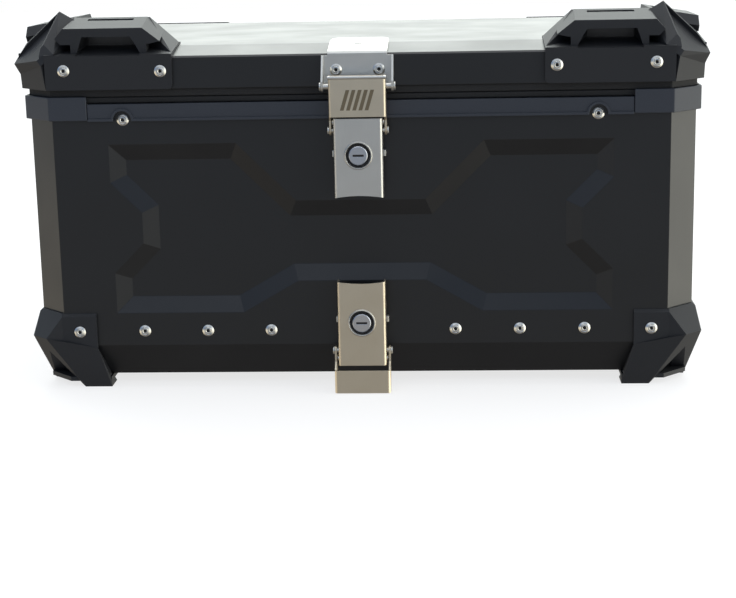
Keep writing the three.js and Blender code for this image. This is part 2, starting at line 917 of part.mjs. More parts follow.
// The strap way under a loop: in at the front window, up a slope and out of the slot on top.
function strapWay() {
  const { low, high, sill, top } = loop.window;
  const { from, to, ends, floor } = loop.slot;
  const mouth = -loop.face - over;
  const ceiling = deckFront + top;
  const window = hull(
    cornerPoints([
      [low[0], mouth, deckFront + sill],
      [low[1], mouth, deckFront + sill],
      [high[0], mouth, ceiling],
      [high[1], mouth, ceiling],
      [low[0], over, deckFront + sill + guard.deck],
      [low[1], over, deckFront + sill + guard.deck],
      [ends[0], from, deckFront + floor],
      [ends[1], from, deckFront + floor],
      [ends[0], from, ceiling],
      [ends[1], from, ceiling],
    ]),
  );
  const riser = hull(
    cornerPoints([
      [ends[0], from - over, deckFront + floor],
      [ends[1], from - over, deckFront + floor],
      [ends[0], from, deckFront + floor],
      [ends[1], from, deckFront + floor],
      [ends[0], to, ceiling],
      [ends[1], to, ceiling],
      [ends[0], from - over, ceiling],
      [ends[1], from - over, ceiling],
    ]),
  );
  return joined([window, riser, cornerBox(ends[0], ends[1], from, to, ceiling - 1, far)]);
}

function hornPoint([u, v, rise]) {
  return [u, v, deckFront + rise];
}

// The corner over the lid's chamfer: a plain wall, a lip that flares out of it, and two ridges that
// climb to the apex.
function hornSolid() {
  const bend = chamferEnd(guard.proud);
  const swap = ([u, v, z]) => [v, u, z];
  const { bend: lower, sideBend, lip, sideLip, tip, foot: toe, ridge, apex, back } = horn;
  const seat = bothWays([
    [guard.breadth, lid.bevelRun, deckTop],
    [guard.breadth, lid.bevelRun, lidEdge],
  ]);
  const wall = hull(
    cornerPoints([
      ...bothWays([[bend, -guard.proud, guardBottom]]),
      hornPoint(lower),
      hornPoint(sideBend),
      [bend, bend, deckFront],
      ...seat,
    ]),
  );
  const sharp = hull(
    cornerPoints([
      ...[lower, sideBend, lip, sideLip, tip, toe, swap(toe)].map(hornPoint),
      ...[ridge, swap(ridge), apex, back, swap(back)].map(hornPoint),
      ...seat,
    ]),
  );
  const inset = (point, share) => point.map((value, i) => value + (swap(point)[i] - value) * share);
  const share = horn.rim / (ridge[0] - ridge[1]);
  const channelEnd = [ridge, swap(ridge)].map((point) => inset(point, share));
  const top = [apex[0] - horn.rim, apex[1] - horn.rim, apex[2] - horn.rim * Math.SQRT2];
  const runOut = channelEnd.map((point) => point.map((value, i) => value + (value - top[i])));
  const down = horn.channel * Math.SQRT1_2;
  const mouth = [...channelEnd, ...runOut, top];
  const lowered = mouth.map(([u, v, z]) => [u + down / Math.SQRT2, v + down / Math.SQRT2, z - down]);
  const raised = mouth.map(([u, v, z]) => [u - over, v - over, z + over]);
  const channel = hull(cornerPoints([...lowered, ...raised].map(hornPoint)));
  return wall.add(sharp.subtract(channel));
}

function frontGuard() {
  const arm = guardArm(guard.breadth);
  const upper = strapLoop().add(endWedge());
  const side = [arm, upper].map(mirroredOnDiagonal);
  const way = strapWay();
  return joined([arm, upper, ...side, hornSolid()])
    .subtract(way)
    .subtract(mirroredOnDiagonal(way))
    .subtract(lidForm(gap, lidBottom - far));
}

// The rear pair stay below the lid's crest, so that it opens clear of them.
function rearGuard() {
  const arm = guardArm(guard.rearBreadth);
  const bend = chamferEnd(guard.proud);
  const corner = hull(
    cornerPoints(
      bothWays([
        [bend, -guard.proud, guardBottom],
        [bend, -guard.proud - guard.lean, deckFront],
        [body.corner, body.corner, deckOnLid(guard.rearBreadth)],
        [body.corner + guard.rearBreadth, guard.rearBreadth, deckOnLid(guard.rearBreadth)],
        [body.corner + guard.rearBreadth, guard.rearBreadth, lidEdge],
      ]),
    ),
  );
  return joined([arm, mirroredOnDiagonal(arm), corner]).subtract(lidForm(gap, lidBottom - far));
}

function latchBracket() {
  const t = bracket.sheet;
  const face = front - lid.proud - gap;
  const lower = lidBottom + gap;
  const crown = lidEdge + lid.round + bracket.lift;
  const flat = lidTop + bracket.lift;
  const slopeEnd = front + lid.bevelRun;
  const rear = front + bracket.rear;
  const profile = [
    [face, lower],
    [face, lidEdge + gap],
    [face + lid.round + gap, crown],
    [slopeEnd, flat],
    [rear, flat],
    [rear, flat + t],
    [slopeEnd, flat + t],
    [face + lid.round - t, crown + t],
    [face - t, lidEdge + t],
    [face - t, lower],
  ];
  const half = bracketWidth / 2;
  const rearHalf = bracket.rearWidth / 2;
  const strip = extruded("x", profile, -half, half);
  const plan = new THREE.Shape();
  plan.moveTo(-half, -far);
  plan.lineTo(half, -far);
  plan.lineTo(half, rear - bracket.shoulder);
  plan.quadraticCurveTo(half, rear, rearHalf, rear);
  plan.lineTo(-rearHalf, rear);
  plan.quadraticCurveTo(-half, rear, -half, rear - bracket.shoulder);
  const trimmed = strip.intersect(extruded("z", plan, 0, far));
  const wing = box(-wingWidth / 2, wingWidth / 2, face - t, face, lower, lidEdge);
  const keeper = upperPivot + bracket.keeperHeight;
  const keeperY = front - latch.standOff - gap;
  const lobe = bracket.keeperRadius + 2;
  const ear = new THREE.Shape();
  ear.moveTo(face, lidEdge);
  ear.lineTo(face - t, lidEdge);
  ear.lineTo(keeperY - lobe, keeper + lobe);
  ear.lineTo(keeperY - lobe, keeper);
  ear.absarc(keeperY, keeper, lobe, Math.PI, Math.PI * 1.75, false);
  ear.lineTo(face, lower);
  const ears = sides.map(([, sign]) => {
    const outer = (sign * wingWidth) / 2;
    return extruded("x", ear, ...sorted(outer - sign * t, outer));
  });
  const bores = bar("x", [keeperY, keeper], bracket.keeperRadius + latch.pinPlay, -far, far, 16);
  return trimmed.add(wing).add(joined(ears)).subtract(bores);
}

function keeperPin(sign) {
  const keeper = [front - latch.standOff - gap, upperPivot + bracket.keeperHeight];
  const inner = linkInner - latch.sheet / 2;
  const outer = wingWidth / 2 + gap;
  const shank = bar("x", keeper, bracket.keeperRadius, ...sorted(sign * inner, sign * outer), 16);
  const head = sorted(sign * outer, sign * (outer + bracket.keeperHead));
  return shank.add(bar("x", keeper, bracket.keeperRadius + bracket.headOver, ...head, 16));
}

function sorted(a, b) {
  return a < b ? [a, b] : [b, a];
}

// ---------------------------------------------------------------- latches, round the lever pivot
const baseEar = leverInner - gap;
const pinBore = latch.pinRadius + latch.pinPlay;
const linkPivot = [latch.linkOffset, -latch.linkDrop];

// A channel's section, open towards +Y, as an outline along z.
function channelShape(width, face, back, sheet, bend) {
  const outer = width / 2;
  const inner = outer - sheet;
  const inside = Math.max(bend - sheet, 0.3);
  const shape = new THREE.Shape();
  shape.moveTo(outer, back);
  shape.lineTo(outer, face + bend);
  shape.absarc(outer - bend, face + bend, bend, 0, -Math.PI / 2, true);
  shape.lineTo(-outer + bend, face);
  shape.absarc(-outer + bend, face + bend, bend, -Math.PI / 2, -Math.PI, true);
  shape.lineTo(-outer, back);
  shape.lineTo(-inner, back);
  shape.lineTo(-inner, face + sheet + inside);
  shape.absarc(-inner + inside, face + sheet + inside, inside, -Math.PI, -Math.PI / 2, false);
  shape.lineTo(inner - inside, face + sheet);
  shape.absarc(inner - inside, face + sheet + inside, inside, -Math.PI / 2, 0, false);
  shape.lineTo(inner, back);
  return shape;
}

function latchLever(spec) {
  const shape = channelShape(latch.leverWidth, -latch.leverFace, latch.leverBack, latch.sheet, latch.bend);
  const low = spec.leverOver - spec.leverLength;
  const half = latch.leverWidth / 2;
  const hollowRadius = (half * half + latch.endHollow * latch.endHollow) / (2 * latch.endHollow);
  return extruded("z", shape, low, spec.leverOver, 4)
    .subtract(bar("y", [low - hollowRadius + latch.endHollow, 0], hollowRadius, -far, far, 96))
    .subtract(bar("y", [-spec.lock, 0], lock.neck + gap, -far, -1, 28))
    .subtract(bar("x", [0, 0], pinBore, -far, far, 14))
    .subtract(bar("x", linkPivot, pinBore, -far, far, 14));
}

// A plate the thickness of the link's sheet on each side, from an outline of [y, z] points.
function linkCheeks(outline) {
  return sides.map(([, sign]) =>
    extruded("x", outline, ...sorted(sign * linkInner, (sign * linkWidth) / 2), 6),
  );
}

function latchEye(shape, radius, startAngle, endAngle) {
  shape.absarc(linkPivot[0], linkPivot[1], radius, startAngle, endAngle, true);
}

function upperLatchLink() {
  const web = extruded(
    "z",
    channelShape(linkWidth, -latch.linkFace, -latch.linkFace + latch.bend + 1, latch.sheet, latch.bend),
    upperLink.bottom,
    upperLink.top,
    4,
  );
  const keeper = [-gap, bracket.keeperHeight];
  const seat = keeper[1] - bracket.keeperRadius - bracket.keeperPlay;
  const behind = keeper[0] - bracket.keeperRadius - bracket.keeperPlay;
  const { eye } = latch;
  const cheek = new THREE.Shape();
  cheek.moveTo(-latch.linkFace + latch.bend, upperLink.bottom);
  cheek.lineTo(-latch.linkFace + latch.bend, upperLink.top);
  cheek.lineTo(behind, upperLink.top);
  cheek.lineTo(behind, seat);
  cheek.lineTo(keeper[0] + 0.4, seat);
  cheek.lineTo(linkPivot[0] + eye, upperLink.bottom);
  cheek.lineTo(linkPivot[0] + eye, linkPivot[1]);
  latchEye(cheek, eye, 0, -Math.PI);
  cheek.lineTo(linkPivot[0] - eye, upperLink.bottom - 3);
  return joined([web, ...linkCheeks(cheek)]).subtract(bar("x", linkPivot, pinBore, -far, far, 14));
}

function lowerLatchLink() {
  const face = -lowerLink.face;
  const web = extruded(
    "z",
    channelShape(linkWidth, face, face + latch.bend + 1, latch.sheet, latch.bend),
    lowerLink.top,
    lowerLink.bottom,
    4,
  );
  const lip = box(
    -linkInner,
    linkInner,
    face + 0.5,
    face + lowerLink.lip,
    lowerLink.bottom - latch.sheet,
    lowerLink.bottom,
  );
  const { eye } = latch;
  const cheek = new THREE.Shape();
  cheek.moveTo(face + latch.bend, lowerLink.bottom);
  cheek.lineTo(face + latch.bend, lowerLink.top);
  cheek.lineTo(linkPivot[0] - eye, lowerLink.top - 6);
  cheek.lineTo(linkPivot[0] - eye, linkPivot[1]);
  cheek.absarc(linkPivot[0], linkPivot[1], eye, -Math.PI, 0, false);
  cheek.lineTo(linkPivot[0] + eye - 1, lowerLink.top + 3);
  cheek.lineTo(face + lowerLink.lip, lowerLink.bottom);
  return joined([web, lip, ...linkCheeks(cheek)]).subtract(bar("x", linkPivot, pinBore, -far, far, 14));
}

function linkPin(sign) {
  const cheek = linkWidth / 2;
  const length = sorted(sign * (leverInner + 0.1), sign * (cheek + gap));
  const head = sorted(sign * (cheek + gap), sign * (cheek + gap + latch.linkHead));
  return bar("x", linkPivot, latch.pinRadius, ...length, 14).add(
    bar("x", linkPivot, latch.pinRadius + latch.linkHeadOver, ...head, 14),
  );
}

function leverPin() {
  const half = linkInner - 0.5;
  return bar("x", [0, 0], latch.pinRadius, -half, half, 14);
}

function latchBase(spec) {
  const wall = latch.standOff - gap;
  const plateFace = wall - latch.basePlate;
  const lockZ = -spec.lock;
  const [z0, z1] = [-spec.plateTo, spec.plateFrom];
  const plate = box(-baseEar, baseEar, plateFace, wall, z0, z1);
  const ears = sides.map(([, sign]) =>
    extruded(
      "x",
      [
        [wall, z1],
        [wall, z1 - latch.earLength],
        [plateFace - 1, z1 - latch.earLength],
        [-latch.ear, Math.min(-3, z1 - 3)],
        [-latch.ear, latch.ear - 1],
        [0, latch.ear],
        [latch.ear, latch.ear - 0.5],
        [plateFace - 1, z1],
      ],
      ...sorted(sign * baseEar, sign * (baseEar - latch.sheet)),
    ),
  );
  const half = latch.catchHeight / 2;
  const catchFace = latch.standOff - latch.catchBack - latch.catchPlate;
  const outer = latch.leverWidth / 2 + latch.catchOver;
  const wing = box(-outer, outer, plateFace, wall, lockZ - half, lockZ + half);
  const catches = sides.map(([, sign]) => {
    const across = sorted(sign * (outer - latch.catchLip), sign * outer);
    const post = box(...across, catchFace, wall, lockZ - half, lockZ + half);
    const lip = box(
      ...sorted(sign * latch.catchFrom, sign * outer),
      catchFace,
      catchFace + latch.catchPlate,
      lockZ - half,
      lockZ + half,
    );
    return post.add(lip);
  });
  return joined([plate, wing, ...ears, ...catches]).subtract(bar("x", [0, 0], pinBore, -far, far, 14));
}

function lockBezel() {
  const face = latch.leverFace + gap;
  return turned([
    [lock.plug + gap, -face + 4],
    [lock.neck, -face + 4],
    [lock.neck, -face],
    [lock.bezel, -face],
    [lock.bezel - 0.6, -face - lock.bezelProud],
    [lock.plug + gap + 0.6, -face - lock.bezelProud],
    [lock.plug + gap, -face - lock.bezelProud + 0.6],
    [lock.plug + gap, -face + 4],
  ].reverse(), 24);
}

function lockCylinder() {
  const nose = -latch.leverFace - lock.plugProud;
  const end = latch.standOff - latch.camBack - latch.sheet - gap;
  const plug = turned(
    [
      [0, nose],
      [lock.plug - 0.5, nose],
      [lock.plug, nose + 0.5],
      [lock.plug, -1],
      [lock.shaft, -1],
      [lock.shaft, end],
      [0, end],
    ],
    28,
  );
  const half = lock.slotWide / 2;
  const slot = box(-lock.slot / 2, lock.slot / 2, nose - 1, nose + lock.slotDeep, -half, half);
  return plug.subtract(slot);
}

function lockCam() {
  const back = latch.standOff - latch.camBack;
  const half = latch.camLength / 2;
  const shape = new THREE.Shape();
  const radius = latch.camWidth / 2;
  shape.absarc(half - radius, 0, radius, -Math.PI / 2, Math.PI / 2, false);
  shape.absarc(-half + radius, 0, radius, Math.PI / 2, (Math.PI * 3) / 2, false);
  return extruded("y", shape, back - latch.sheet, back, 6);
}

// ---------------------------------------------------------------- assembly
const topCase = new THREE.Group();

function place(group, name, solid, material) {
  const mesh = new THREE.Mesh(geometryOf(solid), material());
  mesh.name = name;
  group.add(mesh);
  return mesh;
}

// A copy of a corner piece at each corner, or only at the front or the rear ones.
function addCorners(prefix, solid, material, end = "") {
  for (const [where, sx, sy] of corners.filter(([where]) => where.startsWith(end))) {
    const mesh = place(topCase, `${prefix}_${where}`, solid, material);
    mesh.scale.set(sx, sy, 1);
  }
}

function addCase() {
  place(topCase, "body_shell", bodyShell(), finishes.coat);
  place(topCase, "bottom_pan", bottomPan(), finishes.coat);
  addCorners("foot_guard", footGuard(), finishes.plastic);
  addCorners("rim_corner", rimCornerPiece(), finishes.rim);
  for (const [where, solid] of Object.entries(railPieces())) {
    place(topCase, `rim_rail_${where}`, solid, finishes.rim);
  }
  place(topCase, "rim_gasket", gasketRing(), finishes.rubber);
  place(topCase, "rear_hook_plate", rearHookPlate(), finishes.stainless);
  for (const [name, x, z, proud] of frontRivets) {
    const mesh = place(topCase, name, rivetSolid(proud), finishes.aluminium);
    mesh.position.set(x, front - proud, z);
    mesh.rotation.x = Math.PI;
  }
}

function addHinges() {
  const reach = hinge.width / 2 + 1;
  const pin = bar("x", [halfDepth + hinge.proud, hingeHeight], hinge.pin, -reach, reach, 20);
  for (const [side, sign] of sides) {
    const group = new THREE.Group();
    group.position.x = sign * hinge.across;
    place(group, `hinge_leaf_body_${side}`, hingeBodyLeaf(), finishes.coat);
    place(group, `hinge_pin_${side}`, pin, finishes.stainless);
    place(group, `hinge_leaf_lid_${side}`, hingeLidLeaf(), finishes.coat);
    topCase.add(group);
  }
}

function addLid() {
  place(topCase, "lid_shell", lidShell(), finishes.coat);
  place(topCase, "lid_rim", lidRimRing(), finishes.rubber);
  addCorners("lid_guard", frontGuard(), finishes.plastic, "front");
  addCorners("lid_guard", rearGuard(), finishes.plastic, "rear");
  place(topCase, "latch_bracket", latchBracket(), finishes.stainless);
  for (const [side, sign] of sides) {
    place(topCase, `keeper_pin_${side}`, keeperPin(sign), finishes.stainless);
  }
}

function addLatch(prefix, spec, pivot, link, upsideDown) {
  const group = new THREE.Group();
  group.position.set(0, front - latch.standOff, pivot);
  group.rotation.y = upsideDown ? Math.PI : 0;
  place(group, `${prefix}_latch_base`, latchBase(spec), finishes.stainless);
  place(group, `${prefix}_lever`, latchLever(spec), finishes.stainless);
  place(group, `${prefix}_lever_pin`, leverPin(), finishes.stainless);
  place(group, `${prefix}_link`, link, finishes.stainless);
  for (const [side, sign] of sides) {
    const name = `${prefix}_link_pin_${side}`;
    place(group, name, linkPin(upsideDown ? -sign : sign), finishes.stainless);
  }
  const pieces = [
    ["bezel", lockBezel()],
    ["cylinder", lockCylinder()],
    ["cam", lockCam()],
  ];
  for (const [name, solid] of pieces) {
    const mesh = place(group, `${prefix}_lock_${name}`, solid, finishes.stainless);
    mesh.position.z = -spec.lock;
  }
  topCase.add(group);
}

addCase();
addHinges();
addLid();
addLatch("upper", upperLatch, upperPivot, upperLatchLink(), false);
addLatch("lower", lowerLatch, lowerPivot, lowerLatchLink(), true);

const extent = new THREE.Box3().setFromObject(topCase, true);
const whole = new THREE.Group();
topCase.position.y = -(extent.min.y + extent.max.y) / 2;
whole.add(topCase);

export default whole;
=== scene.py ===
import json
import math

import bmesh
import bpy
from mathutils import Matrix, Vector
from mathutils.bvhtree import BVHTree


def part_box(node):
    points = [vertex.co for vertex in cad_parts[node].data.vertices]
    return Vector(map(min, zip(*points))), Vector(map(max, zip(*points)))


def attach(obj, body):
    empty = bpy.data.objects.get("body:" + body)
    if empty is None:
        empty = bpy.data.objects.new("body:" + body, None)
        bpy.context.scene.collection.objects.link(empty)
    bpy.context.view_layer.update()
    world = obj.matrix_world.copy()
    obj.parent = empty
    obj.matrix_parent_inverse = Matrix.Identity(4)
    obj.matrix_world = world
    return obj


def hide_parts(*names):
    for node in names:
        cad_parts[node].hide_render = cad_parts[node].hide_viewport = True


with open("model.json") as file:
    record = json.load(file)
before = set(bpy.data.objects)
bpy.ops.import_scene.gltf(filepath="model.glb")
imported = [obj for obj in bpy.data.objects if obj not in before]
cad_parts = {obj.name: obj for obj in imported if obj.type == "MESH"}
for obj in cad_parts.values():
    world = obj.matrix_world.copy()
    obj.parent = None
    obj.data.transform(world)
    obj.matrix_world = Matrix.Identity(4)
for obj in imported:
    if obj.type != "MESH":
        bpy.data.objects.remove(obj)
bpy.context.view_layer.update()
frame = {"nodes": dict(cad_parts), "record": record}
nodes = frame["nodes"]
bodyOf = {node: body for body, members in frame["record"]["behaviour"]["bodies"].items() for node in members}
slotOf = {part["node"]: part["material_slot"] for part in frame["record"]["subparts"]}
mm = 0.001
print("frame loaded:", len(nodes), "nodes")

# The camera stands in front of the case, a little above its lid.
# Metres, degrees, and millimetres for the lens.
camera = dict(
    place=(0.0796, -1.5400, 0.3871),
    yaw=-3.16,  # to the left of straight on
    down=12.86,
    roll=1.19,
    lens=81.5,
    sensor=36,
)


def makeCamera():
    yaw, down, roll = (math.radians(camera[key]) for key in ("yaw", "down", "roll"))
    forward = Vector((math.sin(yaw) * math.cos(down), math.cos(yaw) * math.cos(down), -math.sin(down)))
    right = Vector((math.cos(yaw), -math.sin(yaw), 0))
    below = forward.cross(right)
    tiltedRight = right * math.cos(roll) + below * math.sin(roll)
    tiltedBelow = below * math.cos(roll) - right * math.sin(roll)
    turn = Matrix((tiltedRight, -tiltedBelow, -forward)).transposed()
    data = bpy.data.cameras.new("camera")
    data.sensor_width = camera["sensor"]
    data.lens = camera["lens"]
    made = bpy.data.objects.new("camera", data)
    made.matrix_world = Matrix.Translation(camera["place"]) @ turn.to_4x4()
    bpy.context.scene.collection.objects.link(made)
    bpy.context.scene.camera = made


makeCamera()


# Turns an sRGB hex colour into a linear one.
def linear(hexColour):
    channels = [int(hexColour[i : i + 2], 16) / 255 for i in (1, 3, 5)]
    return tuple(c / 12.92 if c <= 0.04045 else ((c + 0.055) / 1.055) ** 2.4 for c in channels) + (1.0,)


def addNode(tree, kind, settings=None, links=None, **values):
    node = tree.nodes.new(kind)
    for key, value in (settings or {}).items():
        setattr(node, key, value)
    for key, value in values.items():
        node.inputs[key.replace("_", " ")].default_value = value
    for key, source in (links or {}).items():
        tree.links.new(source, node.inputs[key])
    return node


def newMaterial(name):
    material = bpy.data.materials.new(name)
    material.use_nodes = True
    tree = material.node_tree
    tree.nodes.clear()
    return material, tree


def closeMaterial(tree, shader):
    addNode(tree, "ShaderNodeOutputMaterial", links={"Surface": shader.outputs[0]})


# Powder coat: polyester baked on aluminium sheet, a satin skin with a faint orange peel 2 mm across.
def powderCoat():
    material, tree = newMaterial("powderCoatedAluminium")
    place = addNode(tree, "ShaderNodeTexCoord").outputs["Object"]
    peel = addNode(tree, "ShaderNodeTexNoise", links={"Vector": place}, Scale=1 / (2.2 * mm), Detail=2.0)
    grain = addNode(tree, "ShaderNodeTexNoise", links={"Vector": place}, Scale=1 / (0.5 * mm), Detail=1.0)
    cloud = addNode(tree, "ShaderNodeTexNoise", links={"Vector": place}, Scale=1 / (60 * mm), Detail=3.0)
    height = addNode(tree, "ShaderNodeMix", {"data_type": "FLOAT"}, Factor=0.35)
    tree.links.new(peel.outputs[0], height.inputs[2])
    tree.links.new(grain.outputs[0], height.inputs[3])
    bump = addNode(
        tree, "ShaderNodeBump", links={"Height": height.outputs[0]}, Strength=0.12, Distance=0.12 * mm
    )
    rough = addNode(
        tree,
        "ShaderNodeMapRange",
        links={"Value": cloud.outputs[0]},
        From_Min=0.3,
        From_Max=0.7,
        To_Min=0.36,
        To_Max=0.44,
    )
    tone = addNode(tree, "ShaderNodeMix", {"data_type": "RGBA"}, links={0: cloud.outputs[0]})
    tone.inputs[6].default_value = linear("#0d0e10")
    tone.inputs[7].default_value = linear("#111214")
    shader = addNode(
        tree,
        "ShaderNodeBsdfPrincipled",
        links={"Base Color": tone.outputs[2], "Roughness": rough.outputs[0], "Normal": bump.outputs[0]},
        IOR=1.5,
    )
    closeMaterial(tree, shader)
    return material


# Nylon, moulded in a spark-eroded tool: an even matt grain about 0.9 mm across.
def guardNylon():
    material, tree = newMaterial("mouldedNylon")
    place = addNode(tree, "ShaderNodeTexCoord").outputs["Object"]
    grain = addNode(tree, "ShaderNodeTexVoronoi", links={"Vector": place}, Scale=1 / (0.9 * mm))
    fine = addNode(tree, "ShaderNodeTexNoise", links={"Vector": place}, Scale=1 / (0.4 * mm), Detail=2.0)
    height = addNode(tree, "ShaderNodeMix", {"data_type": "FLOAT"}, Factor=0.4)
    tree.links.new(grain.outputs["Distance"], height.inputs[2])
    tree.links.new(fine.outputs[0], height.inputs[3])
    bump = addNode(
        tree, "ShaderNodeBump", links={"Height": height.outputs[0]}, Strength=0.25, Distance=0.1 * mm
    )
    tone = addNode(tree, "ShaderNodeMix", {"data_type": "RGBA"}, links={0: fine.outputs[0]})
    tone.inputs[6].default_value = linear("#1e1f21")
    tone.inputs[7].default_value = linear("#26272a")
    shader = addNode(
        tree,
        "ShaderNodeBsdfPrincipled",
        links={"Base Color": tone.outputs[2], "Normal": bump.outputs[0]},
        Roughness=0.55,
        IOR=1.53,
        Specular_IOR_Level=0.22,
    )
    closeMaterial(tree, shader)
    return material


# ABS rim section, blue black, moulded with a silky face.
def rimPlastic():
    material, tree = newMaterial("mouldedAbs")
    place = addNode(tree, "ShaderNodeTexCoord").outputs["Object"]
    grain = addNode(tree, "ShaderNodeTexNoise", links={"Vector": place}, Scale=1 / (0.7 * mm), Detail=3.0)
    bump = addNode(
        tree, "ShaderNodeBump", links={"Height": grain.outputs[0]}, Strength=0.2, Distance=0.08 * mm
    )
    tone = addNode(tree, "ShaderNodeMix", {"data_type": "RGBA"}, links={0: grain.outputs[0]})
    tone.inputs[6].default_value = linear("#282b31")
    tone.inputs[7].default_value = linear("#2f333b")
    shader = addNode(
        tree,
        "ShaderNodeBsdfPrincipled",
        links={"Base Color": tone.outputs[2], "Normal": bump.outputs[0]},
        Roughness=0.5,
        IOR=1.52,
        Specular_IOR_Level=0.3,
    )
    closeMaterial(tree, shader)
    return material


# EPDM foam seal: dead matt with open pores.
def sealRubber():
    material, tree = newMaterial("epdmRubber")
    place = addNode(tree, "ShaderNodeTexCoord").outputs["Object"]
    pores = addNode(tree, "ShaderNodeTexVoronoi", links={"Vector": place}, Scale=1 / (1.1 * mm))
    bump = addNode(
        tree, "ShaderNodeBump", links={"Height": pores.outputs["Distance"]}, Strength=0.4, Distance=0.2 * mm
    )
    tone = addNode(tree, "ShaderNodeMix", {"data_type": "RGBA"}, links={0: pores.outputs["Distance"]})
    tone.inputs[6].default_value = linear("#0d0d0e")
    tone.inputs[7].default_value = linear("#151516")
    shader = addNode(
        tree,
        "ShaderNodeBsdfPrincipled",
        links={"Base Color": tone.outputs[2], "Normal": bump.outputs[0]},
        Roughness=0.78,
        IOR=1.5,
    )
    closeMaterial(tree, shader)
    return material


# Stainless sheet, pressed and then brushed: grain lines 0.25 mm apart along one way. The turned chrome of the
# locks and the plain aluminium of the rivets take the same lines in their own tones.
def brushedStainless(name, hexColour, along, roughness):
    material, tree = newMaterial(name)
    place = addNode(tree, "ShaderNodeTexCoord").outputs["Object"]
    fine = 1 / (0.25 * mm)
    coarse = 1 / (12 * mm)
    scale = [fine, fine, fine]
    scale["XYZ".index(along)] = coarse
    lines = addNode(tree, "ShaderNodeMapping", links={"Vector": place}, Scale=scale)
    brush = addNode(tree, "ShaderNodeTexNoise", links={"Vector": lines.outputs[0]}, Scale=1.0, Detail=3.0)
    cloud = addNode(tree, "ShaderNodeTexNoise", links={"Vector": place}, Scale=1 / (14 * mm), Detail=2.0)
    bump = addNode(
        tree, "ShaderNodeBump", links={"Height": brush.outputs[0]}, Strength=0.18, Distance=0.05 * mm
    )
    mixed = addNode(tree, "ShaderNodeMix", {"data_type": "FLOAT"}, Factor=0.5)
    tree.links.new(brush.outputs[0], mixed.inputs[2])
    tree.links.new(cloud.outputs[0], mixed.inputs[3])
    rough = addNode(
        tree,
        "ShaderNodeMapRange",
        links={"Value": mixed.outputs[0]},
        From_Min=0.35,
        From_Max=0.65,
        To_Min=roughness - 0.05,
        To_Max=roughness + 0.05,
    )
    bright = linear(hexColour)
    tone = addNode(tree, "ShaderNodeMix", {"data_type": "RGBA"}, links={0: mixed.outputs[0]})
    tone.inputs[6].default_value = tuple(c * 0.88 for c in bright[:3]) + (1,)
    tone.inputs[7].default_value = tuple(min(1, c * 1.08) for c in bright[:3]) + (1,)
    shader = addNode(
        tree,
        "ShaderNodeBsdfPrincipled",
        links={"Base Color": tone.outputs[2], "Roughness": rough.outputs[0], "Normal": bump.outputs[0]},
        Metallic=1.0,
    )
    closeMaterial(tree, shader)
    return material


materials = {
    "powder_coated_aluminium": powderCoat(),
    "guard_plastic": guardNylon(),
    "rim_plastic": rimPlastic(),
    "seal_rubber": sealRubber(),
    "stainless_steel": brushedStainless("brushedStainless", "#d0cfca", "Z", 0.4),
    "lock_chrome": brushedStainless("turnedChrome", "#b9bcc4", "X", 0.24),
    "rivet_aluminium": brushedStainless("rivetAluminium", "#d6d5d0", "X", 0.3),
}
# Stainless of a slightly warmer tone, for the lower latch and the upper link.
warmSteel = brushedStainless("strawStainless", "#d4c9b4", "Z", 0.42)
warmNodes = ("lower_lever", "lower_link", "upper_link")
print("materials made:", len(materials) + 1)


cleaning = dict(merge=0.01, sliver=0.005, flat=0.6)  # mm, mm and degrees


# A copy of a designed piece, with its loose triangles joined into whole faces.
def cleanMesh(node):
    mesh = bmesh.new()
    mesh.from_mesh(nodes[node].data)
    flat = math.radians(cleaning["flat"])
    bmesh.ops.remove_doubles(mesh, verts=mesh.verts, dist=cleaning["merge"] * mm)
    bmesh.ops.dissolve_degenerate(mesh, edges=mesh.edges, dist=cleaning["sliver"] * mm)
    bmesh.ops.dissolve_limit(mesh, angle_limit=flat, verts=mesh.verts, edges=mesh.edges)
    return mesh


# How wide a rounding an edge can carry before it meets the far side of its narrower face.
def roomBeside(edge):
    start = edge.verts[0].co
    along = (edge.verts[1].co - start).normalized()
    room = []
    for face in edge.link_faces:
        across = face.normal.cross(along)
        room.append(max(abs((vertex.co - start).dot(across)) for vertex in face.verts))
    return min(room)


def linkObject(name, mesh):
    made = bpy.data.objects.new(name, mesh)
    bpy.context.scene.collection.objects.link(made)
    return made


# Turns an object with its modifiers into a plain mesh.
def applied(made, name):
    depsgraph = bpy.context.evaluated_depsgraph_get()
    mesh = bpy.data.meshes.new_from_object(made.evaluated_get(depsgraph))
    mesh.name = name
    old = made.data
    made.modifiers.clear()
    made.data = mesh
    if old.users == 0:
        bpy.data.meshes.remove(old)
    return made


# Smooth shading, with a crease wherever two faces turn by more than the angle.
def smoothed(made, angle):
    mesh = made.data
    mesh.polygons.foreach_set("use_smooth", [True] * len(mesh.polygons))
    mesh.set_sharp_from_angle(angle=math.radians(angle))
    weighted = made.modifiers.new("weightedNormal", "WEIGHTED_NORMAL")
    weighted.keep_sharp = True
    weighted.weight = 80
    return made


# Gives a piece the finish and the body of the designed node that it stands for.
def belongs(made, node):
    material = warmSteel if node in warmNodes else materials[slotOf[node]]
    if not made.data.materials:
        made.data.materials.append(material)
    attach(made, bodyOf[node])
    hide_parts(node)


roundingRoom = dict(thinSheet=2.6, share=0.42, thinShare=0.15)  # of the narrower face beside an edge
roundingFaces = 3
creaseAngle = 35


